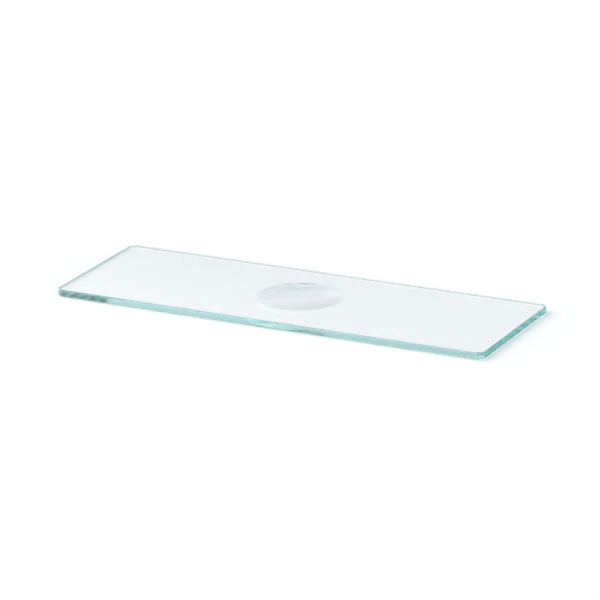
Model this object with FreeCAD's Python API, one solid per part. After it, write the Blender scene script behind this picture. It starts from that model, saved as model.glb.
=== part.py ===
import FreeCAD, Part
import os
from math import asin, cos, sin, sqrt

from FreeCAD import Vector

# A cavity slide for the microscope: one pane of soda-lime glass lying flat on its underside.
# Millimetres. X runs along the slide, Y across it and Z up. The origin is the middle of the underside.

# The pane, in the common slide format.
length = 76.0
width = 26.0
thickness = 1.2

# The ground edges: each corner is clipped at 45 degrees, and a narrow arris takes the sharpness
# off both faces all the way round.
corner_cut = 1.0
arris = 0.15

# The polished hollow that holds a drop: a spherical cap sunk in the top face. Its diameter is taken
# where the sphere would meet the face, before polishing eases the rim.
cavity_diameter = 14.0
cavity_depth = 0.25
cavity_x = 0.0
cavity_y = 0.0
rim_radius = 2.0

# How far the tool that cuts the hollow stands above the top face.
tool_height = 1.0


def outline():
    """The pane's outline at the underside: a rectangle with its corners clipped."""
    end, side = length / 2, width / 2
    corners = [
        Vector(end, side - corner_cut, 0), Vector(end - corner_cut, side, 0),
        Vector(corner_cut - end, side, 0), Vector(-end, side - corner_cut, 0),
        Vector(-end, corner_cut - side, 0), Vector(corner_cut - end, -side, 0),
        Vector(end - corner_cut, -side, 0), Vector(end, corner_cut - side, 0),
    ]
    return Part.makePolygon(corners + corners[:1])


def pane():
    """The flat pane, with an arris along every edge of its two faces."""
    blank = Part.Face(outline()).extrude(Vector(0, 0, thickness))
    face_edges = [edge for edge in blank.Edges if edge.BoundBox.ZLength < thickness / 2]
    return blank.makeChamfer(arris, face_edges)


def cavity_tool():
    """The solid of revolution that the hollow is ground to: a ball's cap that turns out into the rim."""
    half = cavity_diameter / 2
    ball = (half ** 2 + cavity_depth ** 2) / (2 * cavity_depth)
    ball_z = thickness - cavity_depth + ball
    rim_z = thickness - rim_radius
    rim_x = sqrt((ball + rim_radius) ** 2 - (ball_z - rim_z) ** 2)
    slope = asin(rim_x / (ball + rim_radius))

    def on_ball(angle):
        return Vector(ball * sin(angle), 0, ball_z - ball * cos(angle))

    def on_rim(angle):
        return Vector(rim_x - rim_radius * sin(angle), 0, rim_z + rim_radius * cos(angle))

    top = thickness + tool_height
    profile = Part.Wire([
        Part.Arc(on_ball(0), on_ball(slope / 2), on_ball(slope)).toShape(),
        Part.Arc(on_rim(slope), on_rim(slope / 2), on_rim(0)).toShape(),
        Part.makeLine(on_rim(0), Vector(rim_x, 0, top)),
        Part.makeLine(Vector(rim_x, 0, top), Vector(0, 0, top)),
        Part.makeLine(Vector(0, 0, top), on_ball(0)),
    ])
    turned = Part.Face(profile).revolve(Vector(0, 0, 0), Vector(0, 0, 1), 360)
    return turned.translated(Vector(cavity_x, cavity_y, 0))


os.makedirs("parts", exist_ok=True)
glass_slide = pane().cut(cavity_tool())
glass_slide.exportStep("parts/glass_slide.step")
print("glass_slide:", len(glass_slide.Solids), "solid,", round(glass_slide.Volume, 2), "mm3")
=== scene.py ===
from math import asin, ceil, cos, pi, radians, sin, sqrt

import bmesh
import bpy
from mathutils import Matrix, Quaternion, Vector, noise


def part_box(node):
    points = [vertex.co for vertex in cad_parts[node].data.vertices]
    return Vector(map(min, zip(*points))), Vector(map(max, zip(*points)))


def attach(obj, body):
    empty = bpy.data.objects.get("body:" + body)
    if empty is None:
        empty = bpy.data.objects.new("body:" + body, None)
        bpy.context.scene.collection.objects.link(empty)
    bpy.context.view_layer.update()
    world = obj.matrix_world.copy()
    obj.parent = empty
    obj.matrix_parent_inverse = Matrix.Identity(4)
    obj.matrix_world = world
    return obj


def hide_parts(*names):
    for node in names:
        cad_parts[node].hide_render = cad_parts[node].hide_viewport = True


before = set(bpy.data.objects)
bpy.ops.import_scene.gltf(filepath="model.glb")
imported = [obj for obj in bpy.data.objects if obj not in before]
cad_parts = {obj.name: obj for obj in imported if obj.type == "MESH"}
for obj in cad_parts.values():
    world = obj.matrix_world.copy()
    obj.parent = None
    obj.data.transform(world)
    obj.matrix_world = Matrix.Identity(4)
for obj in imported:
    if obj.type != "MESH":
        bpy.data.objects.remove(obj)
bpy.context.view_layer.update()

mm = 0.001
white = (1.0, 1.0, 1.0)


class Wire:
    # one output of a node, so that sums on it read as sums
    def __init__(self, tree, socket):
        self.tree = tree
        self.socket = socket

    def maths(self, operation, *values):
        return self.tree.node("Math", {"operation": operation}, dict(enumerate(values)))

    def __add__(self, other):
        return self.maths("ADD", self, other)

    def __radd__(self, other):
        return self.maths("ADD", other, self)

    def __sub__(self, other):
        return self.maths("SUBTRACT", self, other)

    def __rsub__(self, other):
        return self.maths("SUBTRACT", other, self)

    def __mul__(self, other):
        return self.maths("MULTIPLY", self, other)

    def __rmul__(self, other):
        return self.maths("MULTIPLY", other, self)


class Tree:
    # the nodes of one material or world
    def __init__(self, owner):
        owner.use_nodes = True
        self.nodes = owner.node_tree.nodes
        self.links = owner.node_tree.links
        self.nodes.clear()

    def node(self, kind, settings=None, inputs=None, output=0):
        made = self.nodes.new("ShaderNode" + kind)
        for name, value in (settings or {}).items():
            setattr(made, name, value)
        for name, value in (inputs or {}).items():
            if isinstance(value, Wire):
                self.links.new(value.socket, made.inputs[name])
            else:
                made.inputs[name].default_value = value
        if made.outputs:
            return Wire(self, made.outputs[output])

    def vector(self, operation, *values, output="Vector"):
        return self.node("VectorMath", {"operation": operation}, dict(enumerate(values)), output)

    def mix(self, factor, first, second):
        # the first colour where the factor is 0 and the second where it is 1, on sockets 6 and 7
        first, second = (colour if isinstance(colour, Wire) else (*colour, 1) for colour in (first, second))
        return self.node("Mix", {"data_type": "RGBA"}, {0: factor, 6: first, 7: second}, output=2)

    def ease(self, value, start, end):
        # 0 up to the start, 1 from the end on, and smooth between them
        return self.node("MapRange", {"interpolation_type": "SMOOTHSTEP"},
                         {"Value": value, "From Min": start, "From Max": end, "To Min": 0.0, "To Max": 1.0})

    def mask(self, name):
        return self.node("Attribute", {"attribute_name": name}, output="Fac")


slideForm = {
    "cornerCut": 1.0 * mm,        # the clipped corners
    "cornerEase": 0.25 * mm,      # how far the ends of each clip are rounded over
    "easeSteps": 4,
    "arris": 0.15 * mm,           # the narrow slope ground along every edge
    "arrisSteps": 3,
    "arrisCrown": 0.18,           # how far it swells out of its flat, as a share of its width
    "arrisWander": 0.02,          # how unevenly it was ground, as a share of its width
    "wanderLength": 1.7 * mm,
    "edgeStep": 0.4 * mm,         # spacing of the points along the edges
    "cavityDiameter": 14.0 * mm,
    "cavityDepth": 0.25 * mm,
    "rimRadius": 2.0 * mm,        # the rim as polishing has eased it
    "rimSteps": 8,
    "bowlSteps": 36,
}
zoneNames = ("wall", "upperArris", "lowerArris", "rim", "bowl")     # each has a finish of its own


def outline(endX, sideY):
    # the slide seen from above, as (point, outward direction) pairs, anticlockwise from the right end
    cut, ease, steps = slideForm["cornerCut"], slideForm["cornerEase"], slideForm["easeSteps"]
    corners = [Vector(xy) for xy in (
        (endX, cut - sideY), (endX, sideY - cut), (endX - cut, sideY), (cut - endX, sideY),
        (-endX, sideY - cut), (-endX, cut - sideY), (cut - endX, -sideY), (endX - cut, -sideY))]
    turn = pi / 4                                    # each clip stands at 45 degrees to its sides
    back = ease * sin(turn / 2) / cos(turn / 2)      # from a corner to where its rounding starts
    places = []
    for number, corner in enumerate(corners):
        coming = (corner - corners[number - 1]).normalized()
        outward = Vector((coming.y, -coming.x))
        centre = corner - coming * back - outward * ease
        for step in range(steps + 1):
            angle = turn * step / steps
            facing = outward * cos(angle) + coming * sin(angle)
            places.append((centre + facing * ease, facing))
        following = corners[(number + 1) % len(corners)]
        leaving = (following - corner).normalized()
        start = corner + leaving * back
        length = (following - corner).length - 2 * back
        count = ceil(length / slideForm["edgeStep"])
        facing = Vector((leaving.y, -leaving.x))
        places += [(start + leaving * length * step / count, facing) for step in range(1, count)]
    return places


def distances(places):
    # how far round the outline each point is, ending with the whole way round
    found = [0.0]
    for number, (point, facing) in enumerate(places):
        found.append(found[-1] + (places[(number + 1) % len(places)][0] - point).length)
    return found


def arrisPath(width):
    # one arris from the wall to the face, as (inset, drop) pairs
    steps = slideForm["arrisSteps"]
    for step in range(steps + 1):
        share = step / steps
        swell = width * slideForm["arrisCrown"] * sin(pi * share) / sqrt(2)
        yield width * share - swell, width * (1 - share) - swell


def hollowPath(top):
    # the hollow from its rim to its middle, as (radius, height) pairs
    half, depth, rim = slideForm["cavityDiameter"] / 2, slideForm["cavityDepth"], slideForm["rimRadius"]
    ball = (half ** 2 + depth ** 2) / (2 * depth)
    ballHeight, rimHeight = top - depth + ball, top - rim
    rimAt = sqrt((ball + rim) ** 2 - (ballHeight - rimHeight) ** 2)
    slope = asin(rimAt / (ball + rim))
    for step in range(slideForm["rimSteps"]):
        angle = slope * step / slideForm["rimSteps"]
        yield rimAt - rim * sin(angle), rimHeight + rim * cos(angle)
    for step in range(slideForm["bowlSteps"], 0, -1):
        angle = slope * step / slideForm["bowlSteps"]
        yield ball * sin(angle), ballHeight - ball * cos(angle)


def makeSlide(low, high):
    middle = (low + high) / 2
    places = outline((high.x - low.x) / 2, (high.y - low.y) / 2)
    travelled = distances(places)
    whole = travelled[-1]
    count = len(places)
    halfway = (high.y - low.y) / 2 - slideForm["cornerCut"]     # along the right end to its middle
    mesh = bmesh.new()
    zones = {name: mesh.faces.layers.float.new(name) for name in zoneNames}
    along = mesh.loops.layers.float.new("along")

    def edgeRing(step, face, sign):
        ring = []
        for (point, facing), far in zip(places, travelled):
            turned = 2 * pi * far / whole
            spot = Vector((cos(turned), sin(turned), sign)) * whole / (2 * pi * slideForm["wanderLength"])
            width = slideForm["arris"] * (1 + slideForm["arrisWander"] * noise.noise(spot))
            inset, drop = list(arrisPath(width))[step]
            flat = point - facing * inset
            ring.append(mesh.verts.new((middle.x + flat.x, middle.y + flat.y, face + sign * drop)))
        return ring

    def roundRing(radius, height):
        ring = []
        for far in travelled[:count]:
            turned = 2 * pi * (far - halfway) / whole
            right, back = radius * cos(turned), radius * sin(turned)
            ring.append(mesh.verts.new((middle.x + right, middle.y + back, height)))
        return ring

    def band(lower, upper, zone=None):
        for number in range(count):
            after = (number + 1) % count
            face = mesh.faces.new((lower[number], lower[after], upper[after], upper[number]))
            face.smooth = True
            if zone:
                face[zones[zone]] = 1.0
            for loop, far in zip(face.loops, (number, number + 1, number + 1, number)):
                loop[along] = travelled[far]

    def crease(ring):
        for number, corner in enumerate(ring):
            mesh.edges.get((corner, ring[(number + 1) % count])).smooth = False

    steps = slideForm["arrisSteps"]
    under = [edgeRing(step, low.z, 1) for step in range(steps, -1, -1)]
    over = [edgeRing(step, high.z, -1) for step in range(steps + 1)]
    hollow = [roundRing(radius, height) for radius, height in hollowPath(high.z)]
    for lower, upper in zip(under, under[1:]):
        band(lower, upper, "lowerArris")
    band(under[-1], over[0], "wall")
    for lower, upper in zip(over, over[1:]):
        band(lower, upper, "upperArris")
    band(over[-1], hollow[0])
    rimBands = slideForm["rimSteps"]
    for number, (outer, inner) in enumerate(zip(hollow, hollow[1:])):
        band(outer, inner, "rim" if number < rimBands else "bowl")
    pole = mesh.verts.new((middle.x, middle.y, high.z - slideForm["cavityDepth"]))
    innermost = hollow[-1]
    for number, corner in enumerate(innermost):
        face = mesh.faces.new((corner, innermost[(number + 1) % count], pole))
        face[zones["bowl"]] = 1.0
        face.smooth = True
    mesh.faces.new(reversed(under[0])).smooth = True
    for ring in (under[0], under[-1], over[0], over[-1], hollow[0]):
        crease(ring)
    data = bpy.data.meshes.new("slidePane")
    mesh.to_mesh(data)
    mesh.free()
    piece = bpy.data.objects.new("slidePane", data)
    bpy.context.scene.collection.objects.link(piece)
    return piece


glassLook = {
    "ior": 1.52,
    "absorbed": (22.0, 6.4, 7.2),     # what a metre of the glass takes of red, green and blue
    "faceRoughness": 0.0,             # the faces are as drawn, the rest is ground or polished
    "wallRoughness": 0.15,
    "upperArrisRoughness": 0.60,
    "lowerArrisRoughness": 0.35,
    "rimRoughness": 0.06,
    "bowlRoughness": 0.06,
    "lowerArrisPaintedShade": (0.62, 0.57, 0.57),     # painted shade: the lower arris's base colour is darkened to stand for the shade seen through it
    "wallCloud": 0.04,                # how much the walls' finish comes and goes
    "cloudLength": 6.0 * mm,
    "cloudDetail": 1.0,
    "streakLength": 1.5 * mm,         # the marks of grinding, which run along the edges
    "streakWidth": 0.05 * mm,
    "streakDepth": 0.00012 * mm,
    "streakDetail": 3.0,
    "ringWidth": 0.45 * mm,           # the marks of polishing, which run round the hollow
    "ringLength": 5.0 * mm,
    "ringDepth": 0.0002 * mm,
    "ringDetail": 2.0,
    "ringHeading": (0.6, 0.8, 0.0),   # where the rings' marks are counted from
    "fineShare": 0.55,                # how strong the finer marks are beside the coarser ones
}


def makeGlass(middle):
    material = bpy.data.materials.new("slideGlass")
    tree = Tree(material)
    look = glassLook
    along = tree.mask("along")
    place = tree.vector("SUBTRACT", tree.node("TexCoord", output="Object"), middle)
    flat = tree.vector("MULTIPLY", place, (1, 1, 0))
    radius = tree.vector("LENGTH", flat, output="Value")
    height = tree.node("SeparateXYZ", None, {"Vector": place}, output="Z")

    def marks(lengthwise, length, across, width, detail):
        # noise about 0, drawn out along one measure and fine across the other
        spot = tree.node("CombineXYZ", None, {"X": lengthwise * (1 / length), "Y": across * (1 / width)})
        noiseMiddle = 0.5
        return tree.node("TexNoise", {"noise_dimensions": "2D"}, {
            "Vector": spot, "Scale": 1.0, "Detail": detail, "Roughness": look["fineShare"]}) - noiseMiddle

    ground = tree.mask("wall") + tree.mask("upperArris") + tree.mask("lowerArris")
    streaks = marks(along, look["streakLength"], height, look["streakWidth"], look["streakDetail"]) * ground
    facing = tree.vector("NORMALIZE", flat)
    turned = tree.vector("DOT_PRODUCT", facing, look["ringHeading"], output="Value")
    sweep = turned * slideForm["cavityDiameter"]
    rings = marks(sweep, look["ringLength"], radius, look["ringWidth"], look["ringDetail"])
    relief = streaks * look["streakDepth"] + rings * tree.mask("bowl") * look["ringDepth"]
    dented = tree.node("Bump", None, {"Strength": 1.0, "Distance": 1.0, "Height": relief})
    cloud = marks(along, look["cloudLength"], height, look["cloudLength"], look["cloudDetail"])
    roughness = cloud * tree.mask("wall") * look["wallCloud"] + look["faceRoughness"]
    for zone in zoneNames:
        roughness = tree.mask(zone) * look[zone + "Roughness"] + roughness
    # painted shade: the lower arris gets a darker base colour in place of the shade seen through it
    colour = tree.mix(tree.mask("lowerArris"), white, look["lowerArrisPaintedShade"])
    surface = tree.node("BsdfPrincipled", None, {
        "Base Color": colour, "Transmission Weight": 1.0, "IOR": look["ior"], "Roughness": roughness,
        "Normal": dented})
    density = max(look["absorbed"])
    kept = [1 - taken / density for taken in look["absorbed"]]
    inside = tree.node("VolumeAbsorption", None, {"Color": (*kept, 1), "Density": density})
    tree.node("OutputMaterial", None, {"Surface": surface, "Volume": inside})
    return material


floorLook = {
    "gap": 0.05 * mm,                 # between the slide's underside and the floor
    "reach": 3.0,                     # from the middle to each side, in metres
    "tone": (0.80, 0.80, 0.80),       # the paper's own, for the light that it hands on
}


def makeFloor(low):
    reach, height = floorLook["reach"], low.z - floorLook["gap"]
    mesh = bpy.data.meshes.new("floor")
    corners = [(x * reach, y * reach, height) for x, y in ((-1, -1), (1, -1), (1, 1), (-1, 1))]
    mesh.from_pydata(corners, [], [(0, 1, 2, 3)])
    floor = bpy.data.objects.new("floor", mesh)
    bpy.context.scene.collection.objects.link(floor)
    material = bpy.data.materials.new("floorPaper")
    tree = Tree(material)
    # white to look at, also mirrored in the glass and through it
    direct = tree.node("LightPath", output="Is Camera Ray")
    glossy = tree.node("LightPath", output="Is Glossy Ray")
    through = tree.node("LightPath", output="Is Transmission Ray")
    paper = tree.mix(direct + glossy + through, floorLook["tone"], white)
    surface = tree.node("BsdfDiffuse", None, {"Color": paper})
    tree.node("OutputMaterial", None, {"Surface": surface})
    mesh.materials.append(material)
    return floor


sky = {
    "low": (0.898, 0.88, 0.919),      # the studio's walls near the floor
    "high": (1.045, 1.048, 1.077),    # and its ceiling
    "highFrom": 36.0,                 # elevation where the ceiling's tone is reached
    "backdropTop": 3.0,               # a plain white backdrop stands on the horizon up to here
    "backdropGone": 8.0,              # and fades out by here
    "lights": [
        # azimuth from behind the slide, elevation, full within, gone beyond, strength
        (-80, 14, 26, 52, 1.3),
        (-38, 24, 5, 20, 0.08),
    ],
    "flags": [
        # the same, and the share of the light that each takes away
        (20.6, 30, 2, 49, 0.92),
        (-54.7, 12, 12, 25, 1.0),
        (-28.8, 10.4, 1, 10.3, 0.86),
        (-18, 18, 2, 11.5, 0.22),
    ],
}


def makeWorld():
    world = bpy.data.worlds.new("studio")
    bpy.context.scene.world = world
    tree = Tree(world)
    direction = tree.node("TexCoord", output="Generated")
    height = tree.node("SeparateXYZ", None, {"Vector": direction}, output="Z")

    def around(azimuth, elevation, full, gone):
        # 1 near a direction of the sky and 0 away from it
        azimuth, elevation = radians(azimuth), radians(elevation)
        toward = (sin(azimuth) * cos(elevation), cos(azimuth) * cos(elevation), sin(elevation))
        closeness = tree.vector("DOT_PRODUCT", direction, toward, output="Value")
        return tree.ease(closeness, cos(radians(gone)), cos(radians(full)))

    tone = tree.mix(tree.ease(height, 0.0, sin(radians(sky["highFrom"]))), sky["low"], sky["high"])
    level = 1
    for azimuth, elevation, full, gone, strength in sky["lights"]:
        level = around(azimuth, elevation, full, gone) * strength + level
    for azimuth, elevation, full, gone, taken in sky["flags"]:
        level = level * (1 - around(azimuth, elevation, full, gone) * taken)
    above = tree.ease(height, sin(radians(sky["backdropTop"])), sin(radians(sky["backdropGone"])))
    glow = tree.node("Background", None, {
        "Color": tree.mix(above, white, tone), "Strength": (level - 1) * above + 1})
    tree.node("OutputWorld", None, {"Surface": glow})


cameraView = {
    "azimuth": 26.8,                  # to the right of straight in front
    "elevation": 18.8,
    "roll": 0.8,
    "distance": 0.64,                 # from the middle of the slide, in metres
    "lens": 238,
}


def makeCamera(target):
    data = bpy.data.cameras.new("camera")
    data.lens = cameraView["lens"]
    camera = bpy.data.objects.new("camera", data)
    bpy.context.scene.collection.objects.link(camera)
    azimuth, elevation = radians(cameraView["azimuth"]), radians(cameraView["elevation"])
    away = Vector((sin(azimuth) * cos(elevation), -cos(azimuth) * cos(elevation), sin(elevation)))
    rolled = Quaternion((0, 0, 1), -radians(cameraView["roll"]))
    camera.location = target + away * cameraView["distance"]
    camera.rotation_euler = (away.to_track_quat("Z", "Y") @ rolled).to_euler()
    bpy.context.scene.camera = camera


low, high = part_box("glass_slide")
middle = (low + high) / 2
slide = makeSlide(low, high)
slide.data.materials.append(makeGlass(middle))
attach(slide, "root")
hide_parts("glass_slide")
print("slide made:", len(slide.data.polygons), "faces")

floor = makeFloor(low)
makeWorld()
print("floor and light made")
makeCamera(middle)

lightTurns = {
    "glass": 64,      # how many times light may turn in the pane, as it runs to and fro there
    "paper": 8,
    "blur": 0.0,      # none, so that the hollow's gleams stay as bright as they are
}
scene = bpy.context.scene
scene.view_settings.view_transform = "Standard"
scene.cycles.max_bounces = lightTurns["glass"]
scene.cycles.transmission_bounces = lightTurns["glass"]
scene.cycles.glossy_bounces = lightTurns["glass"]
scene.cycles.diffuse_bounces = lightTurns["paper"]
scene.cycles.blur_glossy = lightTurns["blur"]
print("camera and light limits set")
